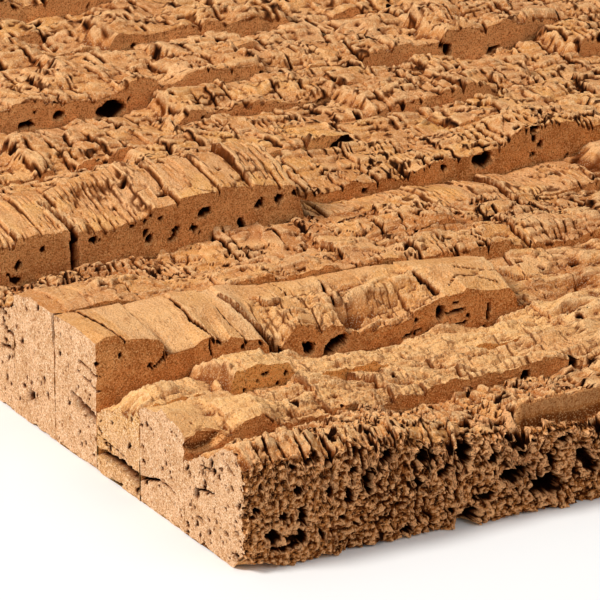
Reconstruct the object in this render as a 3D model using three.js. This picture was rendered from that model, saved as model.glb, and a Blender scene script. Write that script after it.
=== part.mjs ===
import * as THREE from 'three';

// Cork bark slab: eighteen sawn strips of natural bark laid side by side.
// Millimetres, +Z up. X runs along the strips, Y across them, the flat back rests on Z = 0.
// The origin is at the middle of the flat back.

const SLAB_LENGTH = 305;
const FRONT_STRIP_WIDTH = 32.5;
const STRIP_WIDTH = 25;
const JOINT_GAP = 0.3;
const FRONT_CREST_SETBACK = 6;
const BARK_ROUGHNESS = 0.9;

// Each strip lists stations along its length, from the left end.
// A station is [distance, front edge height, crest height, back edge height].
const STRIPS = [
  {
    name: 'bark_strip_01', tone: '#c79a68',
    stations: [
      [0, 29, 33, 20], [12, 31, 34, 22.5], [20, 28, 33.5, 22.5], [26, 25, 32, 23], [48, 25.5, 30, 25.5],
      [65, 25, 27, 23], [80, 24, 24.5, 23], [83, 23.5, 29, 23], [104, 22.5, 29, 23], [125, 24, 30, 25],
      [128, 26, 27.5, 24], [188, 27, 30, 27], [192, 31, 32, 28], [235, 30, 32, 26], [238, 25, 28, 24],
      [305, 26, 28, 24],
    ],
  },
  {
    name: 'bark_strip_02', tone: '#cfa06c',
    stations: [
      [0, 27.5, 28.5, 25], [13, 25, 27, 26], [18, 27.5, 29.5, 27], [25, 28, 30, 27], [29, 25, 27, 25.5],
      [41, 25, 27, 26.5], [64, 27.3, 27.5, 26], [90, 26.6, 26, 24], [116, 27, 26, 24], [150, 28, 29, 27.5],
      [153, 26, 27.5, 26], [200, 27, 28, 27], [203, 32, 33, 30], [250, 31, 32, 30], [270, 29, 30, 28],
      [305, 30, 31, 29],
    ],
  },
  {
    name: 'bark_strip_03', tone: '#d6a566',
    stations: [
      [0, 24, 21, 17], [5, 26.5, 26, 17.5], [22, 26.5, 26, 20], [27, 25.5, 24, 20.5], [29, 31, 30, 24],
      [45, 31.5, 31, 25.5], [48, 27.5, 27, 24], [58, 26, 25.5, 23], [68, 25.5, 24, 20.5],
      [80, 25, 23.5, 20.5], [130, 25, 23.5, 21], [150, 26, 26, 24], [185, 28, 29, 27], [188, 24, 25, 24],
      [230, 25, 26, 26], [233, 29, 30, 28], [280, 28, 29, 27], [305, 29, 28, 26],
    ],
  },
  {
    name: 'bark_strip_04', tone: '#cb9a6b',
    stations: [
      [0, 36.5, 37, 36.5], [4, 37.5, 37, 36.5], [19, 33.5, 36, 36.5], [22, 31, 35.5, 36.5],
      [35, 32, 36, 36.5], [50, 29, 35, 36], [53, 26.5, 33, 36], [58, 28.5, 33, 35], [76, 27.5, 33.5, 34],
      [88, 29, 35, 34], [100, 31, 36, 34], [130, 30, 34, 31.5], [132, 22.5, 26.5, 31.5], [150, 22, 26, 31],
      [168, 24, 28, 30], [200, 28, 31, 30], [203, 34, 36, 34], [245, 35, 37, 35], [248, 31, 33, 32],
      [305, 33, 34, 32],
    ],
  },
  {
    name: 'bark_strip_05', tone: '#cda372',
    stations: [
      [0, 35.5, 35, 33.5], [38, 36, 37, 33], [42, 34, 34, 32], [66, 36, 35, 32], [72, 33.5, 34, 33],
      [110, 33, 34.5, 32], [114, 32.5, 36, 33], [145, 31, 35, 33], [180, 30, 32, 30], [210, 30, 31, 30],
      [213, 27, 28, 28], [255, 28, 30, 30], [258, 33, 34, 32], [305, 32, 33, 31],
    ],
  },
  {
    name: 'bark_strip_06', tone: '#c89a66',
    stations: [
      [0, 32, 30, 27.5], [30, 32, 31, 28.5], [55, 31, 31, 29.5], [58, 29, 30, 29.5], [106, 31, 32, 33],
      [116, 33, 34, 32], [140, 33.5, 34, 31], [143, 30, 30, 28], [205, 28, 28, 27], [240, 31, 31, 29],
      [243, 35, 36, 34], [285, 34, 35, 33], [305, 33, 33, 32],
    ],
  },
  {
    name: 'bark_strip_07', tone: '#c4935f',
    stations: [
      [0, 41, 43, 44.5], [30, 40.5, 44, 46], [45, 40, 44, 47], [60, 42.5, 46, 48.5], [72, 44.5, 47.5, 49.5],
      [96, 45.5, 48.5, 50], [103, 43.5, 47, 49], [106, 33, 34, 33], [120, 30, 29, 26], [180, 27, 27, 25.5],
      [214, 27, 27.5, 26.5], [217, 31, 32, 30], [262, 32, 33, 31], [265, 28, 29, 28], [305, 29, 30, 29],
    ],
  },
  {
    name: 'bark_strip_08', tone: '#cb9b68',
    stations: [
      [0, 43, 40, 36], [35, 45, 42, 37], [50, 46, 43, 38], [106, 46.5, 43, 40], [112, 32, 33, 34],
      [152, 31, 33, 33], [171, 34.5, 34, 32], [187, 36, 36, 33], [197, 40, 39, 35], [225, 38, 38, 35],
      [228, 33, 34, 33], [270, 34, 35, 33], [273, 37, 38, 36], [305, 36, 36, 34],
    ],
  },
  {
    name: 'bark_strip_09', tone: '#c99d6f',
    stations: [
      [0, 33, 32, 30], [40, 34, 33, 31], [43, 30, 30, 29], [85, 31, 31, 30], [88, 36, 36, 35],
      [150, 37, 36, 35], [153, 33, 33, 32], [250, 33, 33, 32], [253, 29, 30, 30], [305, 31, 31, 30],
    ],
  },
  {
    name: 'bark_strip_10', tone: '#c2935f',
    stations: [
      [0, 29, 29, 28], [55, 30, 30, 29], [58, 33, 34, 33], [110, 34, 35, 34], [113, 31, 32, 31],
      [170, 32, 32, 31], [173, 35, 36, 35], [230, 36, 36, 34], [233, 31, 31, 30], [305, 32, 33, 31],
    ],
  },
  {
    name: 'bark_strip_11', tone: '#cea06a',
    stations: [
      [0, 30, 29, 28], [70, 30, 29, 28], [118, 29, 28.5, 27.5], [121, 32, 33, 33], [190, 33, 34, 33],
      [193, 29, 30, 29], [260, 31, 31, 30], [263, 35, 36, 34], [305, 34, 34, 33],
    ],
  },
  {
    name: 'bark_strip_12', tone: '#c8996a',
    stations: [
      [0, 36, 35, 34], [60, 37, 37, 36], [120, 37.5, 38, 36], [126, 33, 34, 34], [138, 36, 37, 36],
      [160, 37, 38, 37], [163, 33, 34, 33], [225, 34, 34, 33], [228, 38, 39, 37], [280, 37, 38, 36],
      [305, 36, 36, 35],
    ],
  },
  {
    name: 'bark_strip_13', tone: '#cfa26f',
    stations: [
      [0, 31, 32, 31], [48, 32, 33, 32], [51, 28, 29, 29], [104, 30, 31, 31], [107, 34, 35, 34],
      [172, 35, 35, 33], [175, 30, 31, 30], [236, 31, 32, 31], [239, 33, 34, 33], [305, 32, 33, 32],
    ],
  },
  {
    name: 'bark_strip_14', tone: '#c59664',
    stations: [
      [0, 36, 37, 35], [72, 37, 38, 36], [75, 33, 34, 33], [131, 32, 33, 32], [134, 37, 38, 36],
      [196, 38, 39, 37], [199, 34, 34, 33], [258, 33, 33, 32], [261, 29, 30, 29], [305, 30, 31, 30],
    ],
  },
  {
    name: 'bark_strip_15', tone: '#cb9e6c',
    stations: [
      [0, 30, 30, 29], [58, 29, 30, 29], [61, 33, 34, 32], [119, 34, 34, 33], [122, 30, 31, 31],
      [187, 31, 32, 31], [190, 36, 37, 35], [247, 37, 37, 35], [250, 33, 34, 33], [305, 34, 34, 32],
    ],
  },
  {
    name: 'bark_strip_16', tone: '#d0a068',
    stations: [
      [0, 34, 35, 34], [44, 35, 36, 34], [47, 31, 32, 32], [98, 32, 33, 32], [101, 37, 38, 36],
      [163, 38, 38, 36], [166, 33, 34, 33], [221, 32, 33, 32], [224, 28, 29, 29], [305, 29, 30, 29],
    ],
  },
  {
    name: 'bark_strip_17', tone: '#c7986a',
    stations: [
      [0, 28, 29, 29], [66, 29, 30, 29], [69, 34, 35, 33], [127, 35, 35, 33], [130, 31, 32, 31],
      [202, 32, 33, 31], [205, 36, 37, 35], [268, 35, 36, 34], [271, 31, 32, 31], [305, 32, 32, 30],
    ],
  },
  {
    name: 'bark_strip_18', tone: '#ca9c67',
    stations: [
      [0, 33, 33, 30], [52, 34, 34, 30], [55, 30, 30, 27], [113, 31, 31, 28], [116, 35, 35, 31],
      [179, 34, 35, 30], [182, 29, 30, 27], [242, 30, 31, 28], [245, 34, 34, 30], [305, 33, 33, 29],
    ],
  },
];

const SLAB_DEPTH = FRONT_STRIP_WIDTH + STRIP_WIDTH * (STRIPS.length - 1);

// One strip as a closed body: five corners at every station, skinned from end to end.
function barkStrip(stations, yFront, yCrest, yBack) {
  const positions = [];
  for (const [distance, front, crest, back] of stations) {
    const x = distance - SLAB_LENGTH / 2;
    positions.push(x, yFront, 0);
    positions.push(x, yBack, 0);
    positions.push(x, yBack, back);
    positions.push(x, yCrest, crest);
    positions.push(x, yFront, front);
  }
  const corners = 5;
  const last = (stations.length - 1) * corners;
  const index = [];
  for (let station = 0; station < stations.length - 1; station += 1) {
    for (let corner = 0; corner < corners; corner += 1) {
      const here = station * corners + corner;
      const beside = station * corners + ((corner + 1) % corners);
      index.push(here, beside, here + corners);
      index.push(beside, beside + corners, here + corners);
    }
  }
  for (let corner = 1; corner < corners - 1; corner += 1) {
    index.push(0, corner + 1, corner);
    index.push(last, last + corner, last + corner + 1);
  }
  const geometry = new THREE.BufferGeometry();
  geometry.setAttribute('position', new THREE.Float32BufferAttribute(positions, 3));
  geometry.setIndex(index);
  geometry.computeVertexNormals();
  return geometry;
}

const slab = new THREE.Group();
slab.name = 'cork_bark_slab';

let seam = -SLAB_DEPTH / 2;
STRIPS.forEach((strip, order) => {
  const width = order === 0 ? FRONT_STRIP_WIDTH : STRIP_WIDTH;
  const setback = order === 0 ? FRONT_CREST_SETBACK : width / 2;
  const yFront = order === 0 ? seam : seam + JOINT_GAP / 2;
  const yBack = order === STRIPS.length - 1 ? seam + width : seam + width - JOINT_GAP / 2;
  const geometry = barkStrip(strip.stations, yFront, seam + setback, yBack);
  const material = new THREE.MeshStandardMaterial({
    color: new THREE.Color(strip.tone),
    roughness: BARK_ROUGHNESS,
    metalness: 0,
  });
  const mesh = new THREE.Mesh(geometry, material);
  mesh.name = strip.name;
  slab.add(mesh);
  seam += width;
});

export default slab;
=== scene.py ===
import math
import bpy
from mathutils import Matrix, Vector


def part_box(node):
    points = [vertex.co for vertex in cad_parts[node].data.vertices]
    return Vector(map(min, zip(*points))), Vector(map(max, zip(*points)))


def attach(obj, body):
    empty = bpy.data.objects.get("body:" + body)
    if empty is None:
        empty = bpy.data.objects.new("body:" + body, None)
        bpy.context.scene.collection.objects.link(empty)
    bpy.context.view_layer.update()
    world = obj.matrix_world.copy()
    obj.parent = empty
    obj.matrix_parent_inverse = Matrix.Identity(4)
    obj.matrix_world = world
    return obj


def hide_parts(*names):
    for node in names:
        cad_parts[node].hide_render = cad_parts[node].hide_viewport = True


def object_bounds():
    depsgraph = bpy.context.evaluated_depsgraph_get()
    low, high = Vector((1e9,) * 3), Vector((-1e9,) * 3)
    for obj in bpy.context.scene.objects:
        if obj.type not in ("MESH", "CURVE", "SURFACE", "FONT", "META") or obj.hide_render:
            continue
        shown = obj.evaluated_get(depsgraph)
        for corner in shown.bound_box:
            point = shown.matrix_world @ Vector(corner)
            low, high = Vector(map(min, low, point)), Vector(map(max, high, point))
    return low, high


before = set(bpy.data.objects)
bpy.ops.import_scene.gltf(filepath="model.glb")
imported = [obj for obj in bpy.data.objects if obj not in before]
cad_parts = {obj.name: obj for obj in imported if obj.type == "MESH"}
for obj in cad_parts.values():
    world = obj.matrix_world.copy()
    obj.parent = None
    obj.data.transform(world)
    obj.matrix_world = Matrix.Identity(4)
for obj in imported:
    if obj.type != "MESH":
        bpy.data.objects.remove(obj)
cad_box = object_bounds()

from types import SimpleNamespace

import bpy
import numpy as np
from mathutils import Matrix, Vector

scene = bpy.context.scene

# Lengths are millimetres in the shape code and metres in the scene.
MM = 0.001
LEFT = float(cad_box[0][0]) / MM
FRONT = float(cad_box[0][1]) / MM
LENGTH = float(cad_box[1][0] - cad_box[0][0]) / MM

# What a face of a strip is: its bark, a sawn side, a sawn end, its underside, or an unsawn outer side.
BARK = 0.0
SAWN = 1.0
END = 2.0
BASE = 3.0
RIND = 4.0
KIND_TOLERANCE = 0.4


# Noise

# Large odd numbers that scatter a grid point and a seed into an unrelated number.
SCATTER_X = 374761393
SCATTER_Y = 668265263
SCATTER_SEED = 974634777
SCATTER_AGAIN = 1274126177


def lattice(ix, iy, seed):
    """A number from 0 to 1 for each point of a whole-number grid."""
    n = ix.astype(np.int64) * SCATTER_X + iy.astype(np.int64) * SCATTER_Y + int(seed) * SCATTER_SEED
    n = (n ^ (n >> 13)) * SCATTER_AGAIN
    n = n ^ (n >> 16)
    return (n & 0xFFFFFF) / float(0x1000000)


def rand(ids, seed):
    ids = np.asarray(ids)
    return lattice(ids, ids * 0 + 17, seed)


def noise(x, y, seed):
    x, y = np.broadcast_arrays(np.asarray(x, float), np.asarray(y, float))
    ix, iy = np.floor(x), np.floor(y)
    fx, fy = x - ix, y - iy
    u = fx * fx * fx * (fx * (fx * 6 - 15) + 10)
    v = fy * fy * fy * (fy * (fy * 6 - 15) + 10)
    a = lattice(ix, iy, seed)
    b = lattice(ix + 1, iy, seed)
    c = lattice(ix, iy + 1, seed)
    d = lattice(ix + 1, iy + 1, seed)
    return 2 * (a + (b - a) * u + (c - a) * v + (a - b - c + d) * u * v) - 1


def fbm(x, y, seed, octaves=4, gain=0.5):
    total, size, amp = 0.0, 0.0, 1.0
    for octave in range(octaves):
        total = total + amp * noise(x, y, seed + 31 * octave)
        size += amp
        amp *= gain
        x, y = x * 2.03 + 5.2, y * 2.03 + 1.3
    return total / size * 1.6


def smooth(low, high, value):
    t = np.clip((value - low) / (high - low), 0, 1)
    return t * t * (3 - 2 * t)


def cells(u, seed, jitter=0.75):
    """Splits a line into uneven cells: each point's cell, and its distance to the cell's two ends."""
    def split(k):
        return k + jitter * (rand(k, seed) - 0.5)
    k = np.floor(u).astype(np.int64)
    k = np.where(u < split(k), k - 1, k)
    k = np.where(u >= split(k + 1), k + 1, k)
    return k, u - split(k), split(k + 1) - u


def neighbours(x, y, seed, spread):
    """The nine scattered points around each place: grid square, and offset of the point."""
    ix, iy = np.floor(x), np.floor(y)
    for dx in (-1, 0, 1):
        for dy in (-1, 0, 1):
            cx, cy = ix + dx, iy + dy
            px = cx + 0.5 + spread * (lattice(cx, cy, seed) - 0.5)
            py = cy + 0.5 + spread * (lattice(cx, cy, seed + 1) - 0.5)
            yield cx, cy, x - px, y - py


def flakes(x, y, seed, spread=0.75, tilt_x=0.0, tilt_y=0.0):
    """Broken flakes or grains: distance to the middle of the nearest, distance to the border between
    two, and the flake's height and tone."""
    first = np.full(np.shape(x), 9.0)
    second = np.full(np.shape(x), 9.0)
    height = np.zeros(np.shape(x))
    tone = np.zeros(np.shape(x))
    for cx, cy, dx, dy in neighbours(x, y, seed, spread):
        d = np.hypot(dx, dy)
        flat = (lattice(cx, cy, seed + 2) - 0.5 + tilt_x * (lattice(cx, cy, seed + 3) - 0.5) * dx
                + tilt_y * (lattice(cx, cy, seed + 4) - 0.5) * dy)
        nearer = d < first
        height = np.where(nearer, flat, height)
        tone = np.where(nearer, lattice(cx, cy, seed + 5), tone)
        second = np.where(nearer, first, np.minimum(second, d))
        first = np.minimum(first, d)
    return first, second - first, height, tone


def terrace(level, step, sharp):
    """Growth layers broken off in steps: the stepped height, and the nearness to a step's foot."""
    k = np.floor(level / step)
    part = level / step - k
    riser = smooth(1 - sharp, 1, part)
    foot = smooth(1 - 2.5 * sharp, 1 - sharp, part) * (1 - smooth(1 - sharp, 1 - 0.3 * sharp, part))
    return (k + 0.15 * part + 0.85 * riser) * step, foot


# Pits and cracks on a face

def pit(a, b, spec, seed, ragged=0.45):
    """How deep each point lies in one pit, from 0 to 1. spec: centre, half sizes, turn."""
    ca, cb, ra, rb, turn = spec
    out = np.zeros(np.shape(a))
    reach = 1.6 * max(ra, rb)
    near = (np.abs(a - ca) < reach) & (np.abs(b - cb) < reach)
    if not near.any():
        return out
    da, db = a[near] - ca, b[near] - cb
    cos, sin = math.cos(turn), math.sin(turn)
    u, v = (da * cos + db * sin) / ra, (db * cos - da * sin) / rb
    d = np.hypot(u, v) + ragged * fbm(0.9 * u + 3.1 * ca, 0.9 * v + 2.3 * cb, seed, 3)
    out[near] = 1 - smooth(0.62, 1.0, d)
    return out


def crack(a, b, path, half, seed):
    """How deep each point lies in a crack along a path of (a, b, width factor) points, from 0 to 1."""
    best = np.full(np.shape(a), 99.0)
    for (a0, b0, w0), (a1, b1, w1) in zip(path[:-1], path[1:]):
        da, db = a1 - a0, b1 - b0
        t = np.clip(((a - a0) * da + (b - b0) * db) / (da * da + db * db), 0, 1)
        d = np.hypot(a - a0 - t * da, b - b0 - t * db)
        best = np.minimum(best, d / (half * (w0 + t * (w1 - w0))))
    best = best + 0.3 * noise(a / 1.3, b / 1.3, seed) + 0.15 * noise(a / 3.1, b / 3.1, seed + 5)
    return 1 - smooth(0.5, 1.15, best)


def sunk(depth, dark, deep, deepest, shade=None):
    """Sinks a pit or a crack into a face: the face's new depth, and its painted shade in the hollow."""
    return depth + deepest * deep, np.maximum(dark, deep if shade is None else shade)


def scattered(rng, depth, count, a_range, b_range, sizes, stretch=1.6):
    """Pits of one depth at random places, most of them small."""
    pits = []
    for _ in range(count):
        size = sizes[0] + (sizes[1] - sizes[0]) * rng.random() ** 2
        turned = math.pi / 2 if rng.random() < 0.5 else 0
        spec = (rng.uniform(*a_range), rng.uniform(*b_range), size * rng.uniform(1, stretch), size,
                rng.uniform(-0.6, 0.6) + turned)
        pits.append((spec, depth))
    return pits


# How each strip's bark is broken. Lengths are millimetres.
# plate: spacing of the cross fissures, and plate_var, tilt, lean: how the plates between them lie.
# fissure, fissure_w: depth and half width of a fissure. wobble, wander: how far fissures and steps stray.
# comb, comb_len: rise and width of ribs across the strip. groove, groove_w: the grooves between them.
# combed: share of the plates with ribs. edge, edge_r: how far the long edges are worn.
# flake, flake_x, flake_y, step, sharp: growth layers broken off in steps. flake_down: their slope.
# shards: loose flakes as (along, across, rise, tilt along, tilt across), the large ones first.
# calm: stretches as (start, stop, how broken). rough: fine roughness. shade: how much painted shade small
# splits get.
# cream, warm, red, pale: shares of colours. pores to end_cracks: how many of each there are.
# fine, coarse, across, upright: mesh spacing, with coarse beyond dense_to.
# side_from: height of the front side's lowest mesh row above its foot. seen_back: whether all of the
# back side is in sight.
DEFAULT = dict(
    plate=12, plate_var=1.4, tilt=0.10, lean=0.06, wobble=0.9, wander=1.4, fissure=2.2, fissure_w=0.75,
    comb=0.4, comb_len=2.6, groove=0.9, groove_w=0.7, combed=0.5,
    flake=2.4, flake_x=20, flake_y=10, flake_down=0, step=1.1, sharp=0.1,
    shards=((13, 10, 1.5, 0.8, 0.8), (2.6, 7, 0.6, 1.2, 0.6)),
    rough=0.10, edge=0.6, edge_r=2, calm=(), shade=0.8, cream=0, warm=0.5, red=0.3, pale=0,
    pores=60, holes=7, top_pits=45, end_pits=26, end_cracks=3,
    fine=1, coarse=1, dense_to=305, across=1, upright=1, side_from=16, seen_back=False,
)

# The second and third strips share thin flakes.
THIN_FLAKES = dict(plate_var=0.6, wander=0.4, fissure=0.4, flake=1.9, flake_x=12, flake_y=4,
                   flake_down=0.12, step=0.5, holes=3, top_pits=14,
                   fine=0.45, coarse=1.9, across=0.45, upright=0.6)

STYLES = {
    1: dict(plate=4.4, plate_var=1.5, tilt=0.25, wobble=0.6, wander=0.6, fissure_w=0.6,
            comb=0.3, comb_len=1.9, groove=0.4, flake=1.4, flake_x=10, flake_y=6,
            shards=((5, 6, 1.4, 1.4, 1.4), (1.9, 2.4, 1.1, 1.8, 1.6)),
            edge=0.3, calm=((0, 7, 0.5),), red=0.8, top_pits=130, end_pits=80,
            fine=0.42, coarse=1.8, dense_to=110, across=0.5, upright=0.48, side_from=0),
    2: dict(THIN_FLAKES, plate=15, comb=0.1, groove=0.1,
            shards=((7, 3.4, 0.8, 0.7, 1), (3, 1.5, 0.6, 0.8, 1.2)),
            calm=((0, 13, 0.35), (13, 27, 0.6)), shade=0.4, cream=0.65, warm=0.4, red=0.35,
            dense_to=128, side_from=18),
    3: dict(THIN_FLAKES, plate=9, comb=0.2, comb_len=1.6, groove=0.2,
            shards=((7, 3.4, 0.8, 0.8, 1), (3, 1.5, 0.6, 0.8, 1.2)),
            calm=((0, 47, 0.7),), shade=0.35, cream=0.75, warm=1, red=0.05, dense_to=142),
    4: dict(plate=9, plate_var=0.9, wander=0.5, fissure=0.5, fissure_w=0.55,
            comb=0.2, comb_len=2.2, groove=0.3, flake=1.6, flake_x=14, flake_y=5, step=0.9,
            shards=((9, 7, 1.2, 1, 1), (2.4, 2.2, 0.5, 1.2, 1.2)), rough=0.06, edge=0.2,
            calm=((0, 53, 0.08), (107, 131, 0.3)), shade=0.45, cream=0.2, red=0.1, holes=3, top_pits=30,
            fine=0.45, coarse=1.9, dense_to=158, across=0.5, upright=0.65),
    5: dict(plate=14, plate_var=1.2, flake_y=7,
            shards=((12, 8, 1.6, 0.8, 1), (3, 4, 0.7, 1.2, 1)),
            calm=((0, 20, 0.3), (20, 62, 0.7)), shade=0.65, red=0.5,
            fine=0.55, coarse=2, dense_to=176, across=0.55, side_from=24),
    6: dict(plate=9, comb=0.6, comb_len=2.4, groove=1, combed=0.7, red=0.9,
            shards=((8, 10, 1.3, 1, 0.8), (2.4, 6, 0.7, 1.2, 0.8)),
            fine=0.6, coarse=2, dense_to=192, across=0.6, upright=1.1, side_from=24),
    7: dict(plate=11, plate_var=1, tilt=0.14, wobble=0.7, fissure=1.6,
            comb=0.5, comb_len=1.9, groove=0.8, groove_w=0.55, combed=1.1,
            flake=0.7, flake_x=24, flake_y=14, step=0.9,
            shards=((9, 22, 0.6, 0.8, 0.4), (1.8, 14, 0.3, 1, 0.4)),
            shade=0.5, warm=0.8, pale=0.15, pores=150, holes=8, top_pits=25,
            fine=0.55, coarse=2, dense_to=208, across=0.55, upright=0.95, side_from=22),
    8: dict(plate=9, plate_var=1.2, wobble=0.7, comb_len=2.2, groove=1.2, combed=0.8,
            flake=1.6, flake_y=8, shards=((9, 14, 1, 0.8, 0.6), (2.4, 8, 0.5, 1, 0.6)),
            warm=0.6, red=0.4,
            fine=0.62, coarse=2, dense_to=224, across=0.62, upright=1.1, side_from=18),
    18: dict(seen_back=True, holes=14, side_from=0),
}

# The far strips share one style, and each draws a few values of its own when it is made. Those that
# the photograph doesn't show have the wider mesh.
FAR_STRIPS = range(9, 19)
LAST_SEEN = 12
SEEN_SPACING = 0.85
UNSEEN_SPACING = 1.3
for number in FAR_STRIPS:
    spacing = SEEN_SPACING if number <= LAST_SEEN else UNSEEN_SPACING
    style = STYLES.setdefault(number, {})
    style.update(groove=0.7, groove_w=0.9, fissure=1.8, fissure_w=1, sharp=0.15, pale=0.45, shade=0.65,
                 fine=spacing, coarse=spacing, across=spacing, upright=1.1 * spacing)

# Heights of a strip's front edge where the photograph shows its outline: place along, height.
FRONT_EDGES = {
    1: [(0, 29.2), (10.6, 29.5), (20, 30.4), (22.9, 28.8), (24, 25.8), (26.4, 27.6), (34, 26.9),
        (44.7, 26.8), (49.4, 28), (58, 26), (64, 24.8), (78, 23.6), (88, 22), (104, 22)],
    4: [(0, 36.2), (3.3, 37.6), (6.5, 37.6), (8.7, 35.6), (19.2, 33.9), (20.9, 32.1), (22.2, 29.9),
        (30, 30.2), (32.6, 31.6), (35, 32.1), (38.2, 29.4), (40.1, 29.7), (41, 30.8), (46.6, 29.4),
        (50.2, 28.9), (54.8, 24.6), (57.5, 26.5), (60.5, 30.3), (62.5, 30.3), (68.3, 27.9), (73.3, 28.9),
        (76, 29), (77.5, 25.4), (82.2, 24.5), (91.7, 27.2), (99.2, 28.8), (107, 30.1), (114, 30.9),
        (115.2, 32.2), (123.3, 30.5), (129.3, 30), (131, 28), (132, 24)],
}

# Chips along the foot of the front strip: place along, height of the chip.
FOOT_CHIPS = [(0, 4.9), (3, 1.9), (6.5, 2), (12, 0), (21.8, 0), (22.8, 1.5), (24.5, 1), (27, 0.1),
              (46, 0.2), (47.6, 1.2), (49, 0.2), (54.5, 0), (55.7, 1.3), (57.3, 0), (62.5, 0), (63.8, 2.6),
              (65.4, 3.5), (68, 1.2), (70, 0), (81, 0), (82.5, 1), (84, 0.3), (90, 0)]

# Rounded lumps on the bark: place along, place across, half sizes, rise.
BUMPS = {
    2: [(4, 12.5, 12, 20, 1.3)],
    3: [(2.5, 3.5, 3, 3.5, 2.6), (9, 6, 5.5, 4, 1.8), (27.5, 5, 2.5, 3, 3), (12.5, 21.5, 2.8, 2.4, 2.4)],
    5: [(0, 21, 42, 26, 1.7)],
}

# Shallow hollows in the front sides: centre along, centre up, half sizes, turn, depth.
HOLLOWS = {
    2: [(6.5, 24.6, 7, 2.6, 0.15, 2.6)],
}

# Cracks across the bark: points along, across and width factor; then half width, depth, and the step
# up or down to the plate beyond the crack.
TOP_CRACKS = {
    4: [([(9.2, -1, 1), (8, 10, 1), (6.4, 25.5, 0.8)], 0.32, 0.8, 0.4),
        ([(21.6, -1, 1.5), (19.2, 8, 1), (20.2, 25.5, 0.7)], 0.36, 1.6, -0.8),
        ([(36.2, -1, 1.2), (33.2, 8, 1), (33.8, 22, 0.6)], 0.36, 1.4, 0.6),
        ([(46, -1, 0.8), (43.6, 6, 1), (43, 17, 0.5)], 0.34, 1.2, -0.5),
        ([(55, -1, 1.4), (51, 7, 1.3), (48.8, 12, 0.7), (47.6, 19, 0.25)], 1.1, 6, 0.8),
        ([(66, 25.5, 0.8), (67.5, 17, 0.6), (69, 12, 0.4)], 0.35, 1, 0),
        ([(80, 21, 0.4), (79, 15, 1), (78, 9, 1.3)], 0.45, 2, 0),
        ([(108, 3, 1), (106.5, 8, 1.2), (104, 14, 0.8)], 0.45, 1.8, 0.5),
        ([(112, 4, 0.5), (116, 6.5, 1), (122, 6, 1), (127, 3, 0.5)], 0.32, 0.9, 0),
        ([(118, 11, 0.6), (123, 9, 1), (129, 8, 0.5)], 0.32, 1, 0)],
    7: [([(31.6, -1, 1.4), (30.4, 8, 1), (28, 15, 0.5)], 0.9, 5, 0),
        ([(107, -1, 1), (106.5, 10, 1.3), (105.5, 26, 1.4)], 1.6, 4, 0)],
    8: [([(109, -1, 1.2), (108.5, 12, 1.2), (107.5, 26, 0.8)], 1.3, 4.5, 0)],
}

# Cracks on the left ends: points across, up and width factor; then half width and depth.
END_CRACKS = {
    2: [([(25, 6.4, 1), (14.5, 9.4, 0.8), (8.9, 9.6, 0.7), (4.9, 8.8, 0.3)], 0.6, 2)],
    3: [([(25.5, 5.6, 0.6), (20.2, 6.1, 0.8), (11.4, 6.6, 1), (3.8, 6, 1.4), (-0.5, 5, 1.6)], 1.45, 5),
        ([(25, 10.5, 0.8), (12, 9.8, 0.6), (6, 9, 0.4)], 0.25, 0.8)],
    4: [
        ([(14.5, 17, 0.7), (11, 15.8, 1.2), (8.5, 15.1, 1.2), (3.8, 15, 1.1), (-0.5, 13.4, 0.9)], 1.4, 4.5),
        ([(12.3, 28.5, 0.5), (5, 27.4, 0.8), (-0.5, 26.4, 1)], 0.32, 1.5),
        ([(11.8, 24.9, 0.6), (4, 23.6, 1), (-0.5, 22.4, 1)], 0.4, 1.8)],
    5: [([(0.4, 38, 1.3), (0.5, 33, 1), (0.2, 27, 0.5)], 0.55, 2.5),
        ([(16, 7.4, 1), (13.5, 8.2, 1.2), (12.5, 7.2, 0.6)], 1, 3)],
}

# Pits on the left end of the front strip: centre across, centre up, half sizes, turn.
END_PITS = {
    1: [(25.7, 13.2, 1.1, 1.6, 0.2), (8.8, 20.6, 1.5, 0.7, 0.1), (23.6, 7, 1.6, 0.7, 0.1),
        (9.4, 7.9, 1.2, 0.8, 0.3), (3.5, 10.1, 0.9, 0.8, 0), (4.1, 3.8, 2.2, 1.1, 0.1),
        (29, 17.5, 0.7, 1.2, 0), (16, 12, 0.8, 1, 0.4), (18.5, 5.2, 1, 0.7, 0), (12, 24.5, 0.8, 1.6, 0.3),
        (20.5, 20.5, 0.7, 1, 0.2)],
}

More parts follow.
